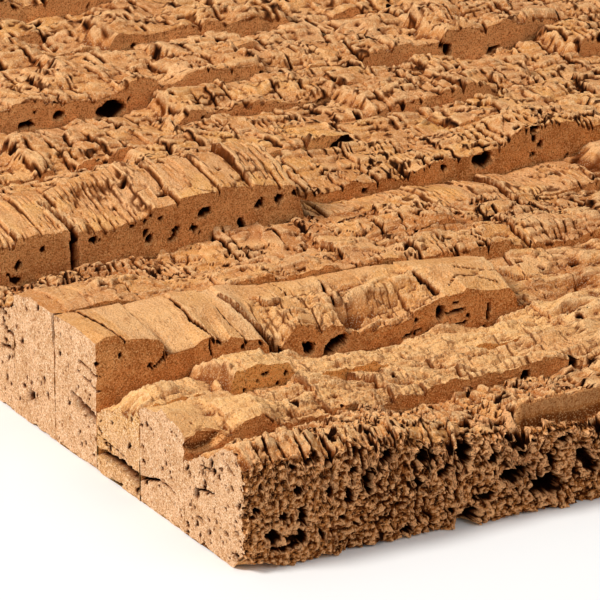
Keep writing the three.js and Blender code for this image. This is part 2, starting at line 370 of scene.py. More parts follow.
# Holes in the front sides: centre along, centre up, half sizes, turn, depth.
SIDE_HOLES = {
    1: [(5.7, 22.4, 0.6, 1.5, 0, 3), (16.2, 19.7, 1, 1.1, 0.3, 3), (25.8, 17.6, 0.9, 3, 0.1, 4),
        (4.2, 16, 2, 0.8, 0.1, 3), (17.6, 12.3, 1.2, 2.4, -0.2, 4), (9, 8.5, 1.4, 2.6, 0.4, 4),
        (17.3, 7, 1.5, 2.6, -0.4, 4), (12.9, 4.9, 4, 1.4, 0, 4), (37.3, 18, 1.5, 5, 0.05, 6),
        (31.7, 22.1, 1.6, 1.2, 0.4, 3), (42.8, 23.9, 3.2, 1.2, 0.1, 5), (53.9, 21.6, 1.5, 3.6, 0.2, 6),
        (57, 20.6, 0.8, 2.8, 0.5, 4), (66.3, 20.4, 1.8, 3.8, -0.2, 6), (74.8, 19, 1.5, 3.2, 0.1, 5),
        (52.5, 14, 1.4, 2.2, 0.3, 4), (82, 11.6, 5.2, 2.3, 0.1, 7), (91.5, 6.2, 5.6, 3.3, 0.05, 8),
        (79.1, 23.2, 1.8, 1, 0, 4), (96, 19.1, 2, 1.4, 0.2, 4), (84.4, 17, 2.2, 1.2, -0.1, 4),
        (66.4, 3, 3, 2.4, 0.2, 8), (23.5, 6.1, 0.9, 1.5, 0.3, 3), (48.6, 2.2, 2, 1.5, 0, 4),
        (73.2, 6.2, 1.4, 1.1, 0, 3), (24.6, 26, 0.9, 1.3, 0.2, 3), (102, 13, 2.4, 1.3, 0.3, 5)],
    2: [(86, 22.5, 1.4, 2, 0.2, 4), (104, 24.5, 1.6, 1.8, 0.1, 4), (119, 25, 1.5, 2.2, 0, 4)],
    3: [(31.5, 25.5, 0.7, 0.6, 0, 2), (35.5, 27.5, 0.5, 0.5, 0, 2), (41.5, 25.5, 0.6, 0.6, 0, 2),
        (38, 29, 1, 0.4, 0, 2), (44.2, 28, 0.6, 0.7, 0, 2)],
    4: [(65, 23, 2, 2.2, 0.3, 5), (73.2, 22.4, 4.2, 1.9, 0.45, 7), (106.7, 26.5, 1.5, 2.2, 0, 6),
        (111.8, 25.6, 3.6, 0.6, 0.1, 4), (122.4, 23.5, 0.6, 2.9, -0.15, 4), (99.2, 25.4, 0.9, 0.7, 0, 2),
        (111.5, 28.2, 0.9, 0.5, 0, 2), (16.4, 27, 1, 0.7, 0.6, 2), (97.5, 21.5, 3.2, 0.6, 0.3, 3),
        (112.5, 21.8, 3.2, 0.5, 0.1, 3), (37.5, 30.2, 0.9, 1.2, 0, 2)],
    7: [(73.1, 38.6, 2, 1.3, 0.3, 3), (64.1, 35, 1.6, 1.3, 0.1, 3), (69.9, 34.6, 1.2, 1, 0, 3),
        (85.1, 33, 1.2, 2.6, 0.3, 4), (37.3, 36.5, 1.6, 0.9, 0, 3), (55.4, 33.5, 1.4, 1.1, 0.5, 3),
        (97.5, 39.1, 1.8, 1.1, 0.4, 4), (91, 38.7, 2.2, 1.1, 0.5, 3), (14, 33, 1.2, 0.9, 0, 2)],
    8: [(181, 30.2, 3.4, 2.6, 0.1, 7), (167.5, 29.7, 1.2, 0.8, 0.3, 3), (198.9, 36.7, 1.5, 1.1, 0.4, 4),
        (198.3, 28.9, 1, 0.9, 0, 3), (200.8, 31.7, 1.1, 0.9, 0.2, 3), (140, 27.3, 1.2, 0.8, 0, 3),
        (181.4, 31.6, 1, 0.8, 0, 3)],
    12: [(107, 29, 4.4, 3.4, 0.1, 7), (89, 30.5, 1.8, 1.4, 0.2, 4), (78, 29, 3, 1.2, 0.1, 4)],
}

# Cracks in the front sides: points along, up and width factor; then half width and depth.
SIDE_CRACKS = {
    4: [([(34.9, 31.5, 0.8), (34.6, 29, 1), (35.3, 26.5, 0.4)], 0.28, 1),
        ([(21.8, 31, 1.4), (20.6, 28.6, 0.8), (17, 26, 0.3)], 0.5, 1.8),
        ([(55, 26, 1.5), (57.2, 22, 1.2), (61, 19.5, 0.8)], 0.8, 4)],
    7: [([(31.6, 26, 1.1), (31.3, 35, 1.1), (31.6, 43, 1.4)], 0.95, 6)],
}

# Where the random draws of the far strips start, and how far apart the strips' own seeds are.
STYLE_SEED = 5200
STRIP_SEED = 1000
# How ragged the holes in the front sides are.
HOLE_RAGGED = 0.3


class Strip:
    """One strip of bark. Places are measured from its left end, its front side and its underside."""
    FRONT_KIND = SAWN

    def __init__(self, number):
        self.number = number
        self.name = f"bark_strip_{number:02d}"
        self.seed = STRIP_SEED * number
        rng = np.random.default_rng(STYLE_SEED + number)
        style = dict(DEFAULT)
        if number in FAR_STRIPS:
            style.update(plate=6 + 6 * rng.random(), comb=0.4 + 0.6 * rng.random(),
                         flake=1.6 + 1.2 * rng.random(), warm=rng.random(), red=0.35 + 0.5 * rng.random())
        style.update(STYLES[number])
        self.style = SimpleNamespace(**style)
        self.read_cad()

    def read_cad(self):
        """Takes the strip's place and its plain height profile from the CAD solid."""
        low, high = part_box(self.name)
        self.y0 = float(low[1]) / MM
        self.width = float(high[1] - low[1]) / MM
        self.top = float(high[2]) / MM
        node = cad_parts[self.name]
        points = np.array([(node.matrix_world @ v.co)[:] for v in node.data.vertices]) / MM
        points = np.unique(np.round(points, 2), axis=0)
        points = points[points[:, 2] > 1.0]
        across = points[:, 1] - self.y0
        edges = [across < 0.5, (across > 0.5) & (across < self.width - 0.5), across > self.width - 0.5]
        self.crest = float(np.median(across[edges[1]]))
        self.rows = []
        for chosen in edges:
            row = points[chosen]
            row = row[np.argsort(row[:, 0])]
            self.rows.append((row[:, 0] - LEFT, row[:, 2]))
        if self.number in FRONT_EDGES:
            edge = np.array(FRONT_EDGES[self.number], float)
            xs, zs = self.rows[0]
            beyond = xs > edge[-1, 0] + 1
            self.rows[0] = (np.append(edge[:, 0], xs[beyond]), np.append(edge[:, 1], zs[beyond]))

    def profile(self, x, y):
        front, crest, back = (np.interp(x, xs, zs) for xs, zs in self.rows)
        near = front + (crest - front) * np.clip(y / self.crest, 0, 1)
        far = crest + (back - crest) * np.clip((y - self.crest) / (self.width - self.crest), 0, 1)
        return np.where(y < self.crest, near, far)

    def bark(self, x, y):
        """Height of the bark face, the painted shade in its cracks, splits and at the feet of its steps,
        and its plate's own tone.
        """
        s, seed, width = self.style, self.seed, self.width
        broken = self.broken(x, y)
        rubble = broken * (0.12 + 0.88 * smooth(-0.15, 0.35, fbm(x / 15, y / 11, seed + 19, 2)))
        wander = s.wander * fbm(y / 6, x / 45, seed + 1, 3) * smooth(0, 4, y)
        h = self.profile(x + wander, self.ledge(x, y))
        u = x + s.wobble * fbm(y / 8, x / 30, seed + 2, 4)
        parting = self.parting(x, y)

        plate, left, right = cells(u / s.plate, seed + 3)
        gap = np.minimum(left, right) * s.plate
        own = rand(plate, seed + 4)
        tone = own
        tilt = s.tilt * (rand(plate, seed + 5) - 0.3) * (right - left) * s.plate
        lean = s.lean * (2 * rand(plate, seed + 6) - 1) * (y - width / 2)
        h = h + broken * ((own - 0.5) * s.plate_var + tilt + lean)

        layered = fbm(x / s.flake_x, y / s.flake_y, seed + 7, 4, 0.45)
        level = s.flake * layered - s.flake_down * y
        layers, foot = terrace(level, s.step, s.sharp)
        h = h + broken * (layers + s.flake_down * y)
        # Painted shade along the foot of each broken-off step.
        dark = s.shade * broken * foot * smooth(-0.2, 0.3, noise(x / 7, y / 6, seed + 8))

        for layer, (along, across, rise, tilt_x, tilt_y) in enumerate(s.shards):
            own_seed = seed + 20 + 10 * layer
            wx = x / along + 0.3 * fbm(x / (0.8 * along), y / (0.8 * across), own_seed + 6, 3)
            wy = y / across + 0.3 * fbm(x / (0.8 * along), y / (0.8 * across), own_seed + 7, 3)
            _, border, flat, flake_tone = flakes(wx, wy, own_seed, 0.8, tilt_x, tilt_y)
            share = rubble if layer else broken
            h = h + share * rise * flat
            tone = tone + 0.6 * share * (flake_tone - tone)
            # Painted shade in the splits between flakes.
            split = 1 - smooth(0.0, 0.5 / min(along, across), border)
            here = smooth(0.0, 0.3, noise(x / 9, y / 7, own_seed + 8))
            dark = np.maximum(dark, s.shade * share * split * here)

        rib, left, right = cells(u / s.comb_len, seed + 9)
        between = np.minimum(left, right) * s.comb_len
        ribbed = smooth(s.combed + 0.1, s.combed - 0.1, rand(plate, seed + 10)) * broken
        ribbed = ribbed * smooth(-0.5, 0.1, noise(x / 16, y / 8, seed + 28))
        torn = noise(y / 6, rib * 3.7, seed + 11) + 0.6 * (rand(rib, seed + 12) - 0.5)
        opened = smooth(-0.2, 0.2, torn)
        groove = (1 - smooth(0.1, s.groove_w, between)) * opened * ribbed * parting
        h = h + s.comb * (rand(rib, seed + 13) - 0.5) * ribbed - s.groove * groove
        # Painted shade in the grooves.
        dark = np.maximum(dark, s.shade * groove)

        torn = noise(y / 8, plate * 3.7, seed + 14) + 0.6 * (rand(plate, seed + 15) - 0.3)
        parted = smooth(-0.3, 0.2, torn)
        deep = (1 - smooth(0.1, s.fissure_w, gap)) * parted * broken * parting
        h = h - s.fissure * (0.45 + 0.55 * rand(plate, seed + 16)) * deep
        # Painted shade in the fissures.
        dark = np.maximum(dark, 1.25 * s.shade * deep)

        h = h + s.rough * fbm(x / 1.5, y / 1.8, seed + 17, 3) * (0.4 + 0.6 * rubble)
        edge = np.clip(1 - np.minimum(y, width - y) / s.edge_r, 0, 1) ** 2
        h = h - s.edge * edge * (0.6 + 0.6 * noise(x / 4, y, seed + 18))
        return self.features(x, y, h, dark) + (tone,)

    def features(self, x, y, h, dark):
        """Adds what the photograph shows in its place, and scattered pits."""
        seed = self.seed + 100
        for cx, cy, rx, ry, rise in BUMPS.get(self.number, ()):
            u, v = (x - cx) / rx, (y - cy) / ry
            d = np.hypot(u, v) + 0.25 * noise(1.5 * u, 1.5 * v, seed)
            h = h + rise * np.sqrt(np.clip(1 - d ** 2, 0, 1))
        # The cracks and the scattered pits below get painted shade as well as depth.
        for path, half, depth, step in TOP_CRACKS.get(self.number, ()):
            h, dark = sunk(h, dark, crack(x, y, path, half, seed + 1), -depth)
            line = sorted((b, a) for a, b, _ in path)
            past = x - np.interp(y, [b for b, _ in line], [a for _, a in line])
            h = h + step * smooth(-0.2, 0.4, past) * np.exp(-np.clip(past, 0, None) / 7)
        rng = np.random.default_rng(seed)
        count, across = self.style.top_pits, (0, self.width)
        for spec, deepest in scattered(rng, 1.8, count, (0, LENGTH), across, (0.6, 1.6), 2.0):
            h, dark = sunk(h, dark, pit(x, y, spec, seed + 2) * self.broken(x, y), -deepest)
        return h, dark

    def ledge(self, x, y):
        return y

    def parting(self, x, y):
        """How far the cracks across the strip open, from 0 to 1."""
        return np.ones(np.shape(x))

    def redness(self, x, y):
        return np.full(np.shape(x), self.style.red)

    def broken(self, x, y):
        """How rough the bark is, from 0, smooth, to 1."""
        value = np.ones(np.shape(x))
        for start, stop, held in self.style.calm:
            inside = smooth(start - 2, start + 2, x) * smooth(stop + 2, stop - 2, x)
            value = value + (held - value) * (inside if start > 0 else smooth(stop + 2, stop - 2, x))
        return value

    def chips(self, x, y):
        """How far the foot of the strip is worn away, upwards."""
        at_end = 1 - smooth(0, 2.5, np.minimum(x, LENGTH - x))
        return at_end * np.clip(fbm(y / 3, x / 3, self.seed + 280, 3), 0, 1)

    def top_kind(self, x, y):
        """What the upper face is made of."""
        return np.full(np.broadcast(x, y).shape, BARK)

    def side(self, x, z, face):
        """How far a sawn side lies behind its flat plane, and the painted shade in its pores, holes and
        cracks there.
        """
        s, seed = self.style, self.seed + 300 + 40 * face
        rng = np.random.default_rng(seed)
        depth = 0.18 * fbm(x / 1.6, z / 1.4, seed, 3) + 0.3 * fbm(x / 14, z / 9, seed + 3, 3)
        dark = np.zeros(np.shape(x))
        pits = scattered(rng, 1.0, s.pores, (0, LENGTH), (0, self.top), (0.45, 1.0))
        pits += scattered(rng, 3.0, s.holes, (0, LENGTH), (0.45 * self.top, self.top), (1.0, 2.4), 2.2)
        for spec, deepest in pits:
            depth, dark = sunk(depth, dark, pit(x, z, spec, seed + 7), deepest)
        if face:
            return depth, dark
        for *spec, deepest in HOLLOWS.get(self.number, ()):
            depth = depth + deepest * pit(x, z, spec, seed + 8, 0.2)
        for *spec, deepest in SIDE_HOLES.get(self.number, ()):
            deep = pit(x, z, spec, seed + 7, HOLE_RAGGED)
            depth, dark = sunk(depth, dark, deep, deepest, smooth(0, 0.5, deep))
        for path, half, deepest in SIDE_CRACKS.get(self.number, ()):
            depth, dark = sunk(depth, dark, crack(x, z, path, half, seed + 9), deepest)
        return depth, dark

    def end(self, y, z, face):
        """How far a sawn end lies behind its flat plane, and the painted shade in its pores and cracks
        there.
        """
        seed = self.seed + 500 + 40 * face
        rng = np.random.default_rng(seed)
        depth = 0.12 * fbm(y / 1.4, z / 1.1, seed, 3) + 0.25 * rng.random()
        dark = np.zeros(np.shape(y))
        pits = scattered(rng, 0.8, self.style.end_pits, (0, self.width), (0, self.top), (0.35, 0.9))
        cracks = []
        for _ in range(self.style.end_cracks):
            start, level = rng.uniform(-4, 0.6 * self.width), rng.uniform(0.12, 0.8) * self.top
            reach, rise = rng.uniform(6, 16), rng.uniform(-2.5, 2.5)
            path = [(start, level, 0.5), (start + reach / 2, level + rise * 0.3, 1.0),
                    (start + reach, level + rise, 0.4)]
            cracks.append((path, rng.uniform(0.3, 0.7), 2.0))
        if face == 0:
            cracks = END_CRACKS.get(self.number, cracks)
            pits += [(spec, 2.0) for spec in END_PITS.get(self.number, ())]
        for spec, deepest in pits:
            deep = pit(y, z, spec, seed + 7)
            depth, dark = sunk(depth, dark, deep, deepest, 0.9 * deep)
        for path, half, deepest in cracks:
            depth, dark = sunk(depth, dark, crack(y, z, path, half, seed + 11), deepest)
        return depth, dark


class RidgeStrip(Strip):
    """The high ridge: smooth plates at its left, then a low ledge in front of a rough riser."""
    # Where the ledge starts and the ridge ends, where its smooth back starts, and how far the low recess
    # beyond its right end reaches along and back. The recess is painted darker red-brown, as painted shade.
    LEDGE_START = 76
    LEDGE_END = 134
    SMOOTH_BACK = 15
    RECESS_END = 172
    RECESS_BACK = 20

    def ledge(self, x, y):
        held = smooth(self.LEDGE_START, self.LEDGE_START + 4, x)
        held = held * smooth(self.LEDGE_END - 22, self.LEDGE_END - 28, x)
        low = self.crest * smooth(0.30, 0.95, y / self.crest)
        return np.where(y < self.crest, y + (low - y) * held, y)

    def broken(self, x, y):
        backs = smooth(self.SMOOTH_BACK, self.SMOOTH_BACK + 5, y)
        backs = backs * smooth(self.LEDGE_END, self.LEDGE_END - 6, x)
        return super().broken(x, y) * (1 - 0.8 * backs)

    def redness(self, x, y):
        recess = smooth(self.LEDGE_END - 5, self.LEDGE_END, x)
        recess = recess * smooth(self.RECESS_END, self.RECESS_END - 16, x)
        recess = recess * smooth(self.RECESS_BACK, self.RECESS_BACK - 6, y)
        # Painted shade in the low recess, as a darker red-brown.
        return self.style.red + 0.9 * recess


class FrontStrip(Strip):
    """The near strip. Its outer side isn't sawn: it is granular bark with deep holes and a chipped foot."""
    FRONT_KIND = RIND
    # How far the foot's chips reach in, and how far the teeth along the front edge reach back and along.
    CHIP_REACH = 6
    TEETH = 9
    TEETH_END = 70
    # Where the pitted rubble on top starts, how far back it reaches, and how far where the bark behind
    # it stands back.
    RUBBLE = 74
    RUBBLE_DEPTH = 9
    RUBBLE_LEDGE = 3.4
    # From where to where the bark stands back behind a ledge, and how much painted shade its face gets.
    SET_BACK = (84.0, 124.0)
    FACE_SHADE = 0.31
    # Spacing of the upright splits in the outer side, and sizes of its grains, along and up.
    COLUMN = 5
    BIG_GRAIN = (3.6, 3.0)
    SMALL_GRAIN = (1.5, 1.2)
    # Its scattered pits: depth, number, ranges along and up, half sizes, greatest stretch.
    SIDE_PITS = ((1.8, 70, (0, LENGTH), (1, 28), (0.4, 1.2), 2.4),
                 (3.0, 32, (24, LENGTH), (1, 26), (0.8, 2.2), 2.6),
                 (4.0, 22, (110, LENGTH), (2, 25), (1.2, 2.8), 2.4))

    def parting(self, x, y):
        fading = 0.25 + 0.75 * smooth(self.TEETH_END, self.TEETH_END - 15, x)
        return smooth(self.TEETH + 3, self.TEETH - 2, y) * smooth(2, 9, x) * fading

    def redness(self, x, y):
        return self.style.red * (0.2 + smooth(self.TEETH - 2, self.TEETH + 5, y))

    def chips(self, x, y):
        lift = np.interp(x, *zip(*FOOT_CHIPS))
        far = FOOT_CHIPS[-1][0]
        worn = np.clip(noise(x / 5, 0.5, self.seed + 290) - 0.3, 0, 1)
        lift = lift + smooth(far, far + 10, x) * 4.0 * worn
        return np.maximum(lift * (1 - smooth(0, self.CHIP_REACH, y)), super().chips(x, y))

    def set_back(self, x):
        """Where the bark stands back behind a ledge of rubble, from 0 to 1."""
        start, stop = self.SET_BACK
        return smooth(start - 3, start + 2, x) * smooth(stop + 2, stop - 2, x)

    def ledge(self, x, y):
        low = self.crest * smooth(0.62, 0.95, y / self.crest)
        return np.where(y < self.crest, y + (low - y) * self.set_back(x), y)

    def riser(self, x, y):
        return smooth(2.4, 3.4, y) * smooth(7.0, 6.0, y) * self.set_back(x)

    def broken(self, x, y):
        return super().broken(x, y) * (1 - 0.9 * self.riser(x, y))

    def top_kind(self, x, y):
        edge = x + 5 * noise(x / 6, y / 6, self.seed + 140)
        depth = y + 1.5 * noise(x / 5, y / 5, self.seed + 141)
        in_front = np.where(self.set_back(x) > 0.5, self.RUBBLE_LEDGE, self.RUBBLE_DEPTH)
        rubble = (edge > self.RUBBLE) & (depth < in_front)
        return np.where(self.riser(x, y) > 0.5, SAWN, np.where(rubble, RIND, BARK))

    def features(self, x, y, h, dark):
        h, dark = super().features(x, y, h, dark)
        # Painted shade on the face behind the ledge.
        dark = np.maximum(dark, self.FACE_SHADE * self.riser(x, y))
        rng = np.random.default_rng(self.seed + 130)
        reach = (self.RUBBLE - 4, LENGTH)
        for spec, deepest in scattered(rng, 3.0, 110, reach, (0, self.RUBBLE_DEPTH), (0.8, 2.2), 2.4):
            deep = pit(x, y, spec, self.seed + 131) * self.broken(x, y)
            h, dark = sunk(h, dark, deep, -deepest)
        return h, dark

    def side(self, x, z, face):
        if face:
            return super().side(x, z, face)
        seed = self.seed + 300
        coarse = 0.35 + 0.65 * smooth(15, 45, x)
        warp_x = x + 1.8 * fbm(x / 6, z / 4, seed, 4)
        warp_z = z + 1.8 * fbm(x / 6, z / 4, seed + 1, 4)
        long, tall = self.BIG_GRAIN
        big, big_border, *_ = flakes(warp_x / long, warp_z / tall, seed + 2)
        long, tall = self.SMALL_GRAIN
        small, small_border, *_ = flakes(warp_x / long, warp_z / tall, seed + 3)
        depth = coarse * (1.2 * big + 1.6 * fbm(x / 8, z / 7, seed + 4, 4))
        depth = depth + (0.5 + 0.6 * coarse) * small + 0.8 * fbm(x / 1.1, z / 0.9, seed + 5, 2)
        patchy = smooth(-0.1, 0.4, noise(x / 5, z / 4, seed + 6))
        # Painted shade in the gaps between grains, in the splits and in the pits.
        dark = coarse * 0.8 * (1 - smooth(0.02, 0.22, big_border)) * patchy
        dark = np.maximum(dark, 0.5 * (1 - smooth(0.0, 0.25, small_border)) * (1 - 0.5 * patchy))
        bent = x + 1.2 * fbm(z / 4, x / 20, seed + 10, 3)
        column, left, right = cells(bent / self.COLUMN, seed + 11)
        torn = noise(z / 4.5, column * 3.7, seed + 12) + 0.5 * (rand(column, seed + 13) - 0.5)
        opened = smooth(0.0, 0.35, torn)
        split = (1 - smooth(0.1, 0.7, self.COLUMN * np.minimum(left, right))) * opened * smooth(20, 32, x)
        depth = depth + 1.5 * split
        dark = np.maximum(dark, 0.8 * split)
        ragged_x = x + 0.7 * fbm(x / 1.8, z / 1.8, seed + 7, 2)
        ragged_z = z + 0.7 * fbm(x / 1.8, z / 1.8, seed + 8, 2)
        rng = np.random.default_rng(seed)
        for kind in self.SIDE_PITS:
            for spec, deepest in scattered(rng, *kind):
                depth, dark = sunk(depth, dark, pit(ragged_x, ragged_z, spec, seed + 9), deepest)
        for *spec, deepest in SIDE_HOLES[self.number]:
            deep = pit(ragged_x, ragged_z, spec, seed + 9, HOLE_RAGGED)
            depth, dark = sunk(depth, dark, deep, deepest, smooth(0, 0.5, deep))
        return depth, dark


# Meshes

# How far in from a side or an end its hollows still move the bark, in millimetres.
FADE = 8.0
# Radius and weight of the surroundings that a point's relief is measured against. The material paints
# raised points lighter, as painted highlight, and hollows darker, as painted shade.
RELIEF_RADII = ((0.6, 0.8), (1.7, 0.5), (4.5, 0.15))
# Slopes at which bark starts to count as steep, and counts as steep in full. Steep bark is painted darker,
# as painted shade.
STEEP_FROM = 0.45
STEEP_FULL = 4.0
# Edges sharper than this are shaded as edges.
SHARP_ANGLE = math.radians(28)


def graded(style):
    """Columns along a strip: close together where the photograph looks closely, wider beyond."""
    if style.dense_to >= LENGTH:
        return np.linspace(0, LENGTH, int(round(LENGTH / style.fine)) + 1)
    near = np.arange(0, style.dense_to, style.fine)
    count = int(math.ceil((LENGTH - style.dense_to) / style.coarse))
    return np.concatenate([near, np.linspace(style.dense_to, LENGTH, count + 1)])


def spread(a, reach):
    """Mean of each point's neighbourhood in a grid, along one way and then the other."""
    size = 2 * reach + 1
    for _ in range(2):
        total = np.cumsum(np.pad(a, ((reach + 1, reach), (0, 0)), mode="edge"), axis=0)
        a = ((total[size:] - total[:-size]) / size).T
    return a


def standing_out(heights, spacing):
    """How far each point of a face stands out of its surroundings, in millimetres."""
    total = 0.0
    for radius, weight in RELIEF_RADII:
        total = total + weight * (heights - spread(heights, max(1, int(round(radius / spacing)))))
    return total


def placed(name, data):
    """A new object, in the scene."""
    thing = bpy.data.objects.new(name, data)
    scene.collection.objects.link(thing)
    return thing


def build(strip):
    s = strip.style
    xs = graded(s)
    ys = np.linspace(0, strip.width, int(round(strip.width / s.across)) + 1)
    rows = int(round(strip.top / s.upright))
    ts = np.linspace(0, 1, rows + 1)
    nx, ny, nt = len(xs), len(ys), len(ts)
    level = np.arange(nt) * strip.top / rows
    front_rows = [0] + [r for r in range(1, nt) if level[r] >= s.side_from]
    back_rows = list(range(nt)) if s.seen_back else [0, nt // 2, nt - 2, nt - 1]
    foot_rows = (0, int(np.searchsorted(ys, FrontStrip.CHIP_REACH)), ny - 1)

    i, j, k = np.meshgrid(np.arange(nx), np.arange(ny), np.arange(nt), indexing="ij")
    on_end = (i == 0) | (i == nx - 1)
    on_front = (j == 0) & np.isin(k, front_rows)
    on_back = (j == ny - 1) & np.isin(k, back_rows)
    on_foot = (k == 0) & (j == foot_rows[1])
    used = on_end | on_front | on_back | on_foot | (k == nt - 1)
    index = np.full((nx, ny, nt), -1, dtype=np.int64)
    index[used] = np.arange(int(used.sum()))
    i, j, k = i[used], j[used], k[used]
    x, y, t = xs[i], ys[j], ts[k]

    height, bark_dark, own = strip.bark(x, y)
    z = t * height + (1 - t) ** 4 * strip.chips(x, y)
    # Painted shade in cracks, pits and splits, which the material darkens.
    dark = np.where(k == nt - 1, bark_dark, 0.0)
    new_x, new_y = x.copy(), y.copy()
    walls = ((strip.side, x, new_y, 0, y, j == 0), (strip.side, x, new_y, 1, strip.width - y, j == ny - 1),
             (strip.end, y, new_x, 0, x, i == 0), (strip.end, y, new_x, 1, LENGTH - x, i == nx - 1))
    for wall, along, moved, face, distance, flag in walls:
        near = distance < FADE
        depth, pores = wall(along[near], z[near], face)
        moved[near] += (1 if face == 0 else -1) * depth * (1 - distance[near] / FADE) ** 2
        dark[near] = np.where(flag[near], np.maximum(dark[near], pores), dark[near])

    # Relief and slope of the faces, which the material turns into painted highlight and painted shade.
    relief, steep = np.zeros(len(x)), np.zeros(len(x))
    front, top = index[:, 0, front_rows], index[:, :, nt - 1]
    relief[front.ravel()] = standing_out(-new_y[front], s.fine).ravel()
    relief[top.ravel()] = standing_out(z[top], s.fine).ravel()
    slope = np.hypot(np.gradient(z[top], xs, axis=0), np.gradient(z[top], ys, axis=1))
    steep[top.ravel()] = smooth(STEEP_FROM, STEEP_FULL, slope).ravel()

    faces, kinds = [], []

    def grid(a, kind, flip):
        quads = np.stack([a[:-1, :-1], a[1:, :-1], a[1:, 1:], a[:-1, 1:]], axis=-1).reshape(-1, 4)
        if flip:
            quads = quads[:, ::-1]
        faces.extend(quads.tolist())
        kinds.extend(np.broadcast_to(kind, len(quads)).tolist())

    def side_grid(column, chosen, kind, flip):
        """A long side on some rows, joined to the ends' closer rows by faces with more corners."""
        grid(index[1:-1, column][:, chosen], kind, flip)
        for end, inner in ((0, 1), (nx - 1, nx - 2)):
            for low, high in zip(chosen[:-1], chosen[1:]):
                loop = index[end, column, low:high + 1].tolist()
                loop += [int(index[inner, column, high]), int(index[inner, column, low])]
                faces.append(loop if (end == 0) == flip else loop[::-1])
                kinds.append(kind)

    grid(top, strip.top_kind(xs[:-1, None], ys[None, :-1]).ravel(), False)
    grid(index[0, :, :], END, True)
    grid(index[nx - 1, :, :], END, False)
    side_grid(0, front_rows, strip.FRONT_KIND, False)
    side_grid(ny - 1, back_rows, SAWN, True)
    for near_row, far_row in zip(foot_rows[:-1], foot_rows[1:]):
        near_foot, far_foot = index[:, near_row, 0], index[:, far_row, 0]
        left_end = index[0, near_row:far_row + 1, 0].tolist()
        right_end = index[nx - 1, near_row:far_row + 1, 0].tolist()
        faces.append(left_end + [int(far_foot[1]), int(near_foot[1])])
        faces.append([int(near_foot[-2]), int(far_foot[-2])] + right_end[::-1])
        inner = np.stack([near_foot[1:-2], far_foot[1:-2], far_foot[2:-1], near_foot[2:-1]], axis=-1)
        faces.extend(inner.tolist())
        kinds.extend([BASE] * (2 + len(inner)))

    points = np.stack([new_x + LEFT, new_y + strip.y0, z], axis=-1) * MM
    mesh = bpy.data.meshes.new(strip.name + "_bark")
    mesh.from_pydata(points.tolist(), [], faces)
    mesh.update()
    each = np.ones(len(x))
    values = dict(dark=dark, plate=own, relief=relief, steep=steep, warm=each * s.warm,
                  red=strip.redness(x, y), pale=each * s.pale, cream=each * s.cream)
    for name, numbers in values.items():
        mesh.attributes.new(name, "FLOAT", "POINT").data.foreach_set("value", numbers.astype(np.float32))
    kind = mesh.attributes.new("kind", "FLOAT", "FACE")
    kind.data.foreach_set("value", np.array(kinds, dtype=np.float32))
    mesh.polygons.foreach_set("use_smooth", [True] * len(faces))
    mesh.set_sharp_from_angle(angle=SHARP_ANGLE)
    return placed("bark_" + strip.name[-2:], mesh)


# Material

class Nodes:
    """Short ways to add nodes to a material."""
    # Places of the mix node's two colours and of its mixed colour.
    MIX_COLOURS = (6, 7)
    MIX_RESULT = 2

    def __init__(self, material):
        material.use_nodes = True
        self.tree = material.node_tree
        self.shader = self.tree.nodes["Principled BSDF"]

    def add(self, kind, **sockets):
        node = self.tree.nodes.new(kind)
        for name, value in sockets.items():
            self.put(node, name, value)
        return node

    def put(self, node, name, value):
        socket = node.inputs[name]
        if isinstance(value, bpy.types.NodeSocket):
            self.tree.links.new(value, socket)
        else:
            socket.default_value = value

    def attribute(self, name):
        node = self.add("ShaderNodeAttribute")
        node.attribute_name = name
        return node.outputs["Fac"]

    def math(self, operation, a, b=0.0):
        node = self.add("ShaderNodeMath")
        node.operation = operation
        self.put(node, 0, a)
        self.put(node, 1, b)
        return node.outputs[0]

    def span(self, value, low, high, to_low=0.0, to_high=1.0):
        node = self.add("ShaderNodeMapRange")
        node.interpolation_type = "SMOOTHSTEP"
        for place, item in enumerate((value, low, high, to_low, to_high)):
            self.put(node, place, item)
        return node.outputs["Result"]

    def noise(self, coordinates, scale, detail=3.0, rough=0.55):
        node = self.add("ShaderNodeTexNoise", Vector=coordinates, Scale=scale, Detail=detail,
                        Roughness=rough)
        return node.outputs["Fac"]

    def mix(self, factor, a, b):
        node = self.add("ShaderNodeMix")
        node.data_type = "RGBA"
        self.put(node, 0, factor)
        for place, value in zip(self.MIX_COLOURS, (a, b)):
            self.put(node, place, (*value, 1.0) if isinstance(value, tuple) else value)
        return node.outputs[self.MIX_RESULT]

    def coats(self, colour, *layers):
        """Lays tints over a colour. A layer: value, where it starts, where it is full, strength, tint."""
        for value, start, full, strength, tint in layers:
            colour = self.mix(self.span(value, start, full, 0.0, strength), colour, tint)
        return colour


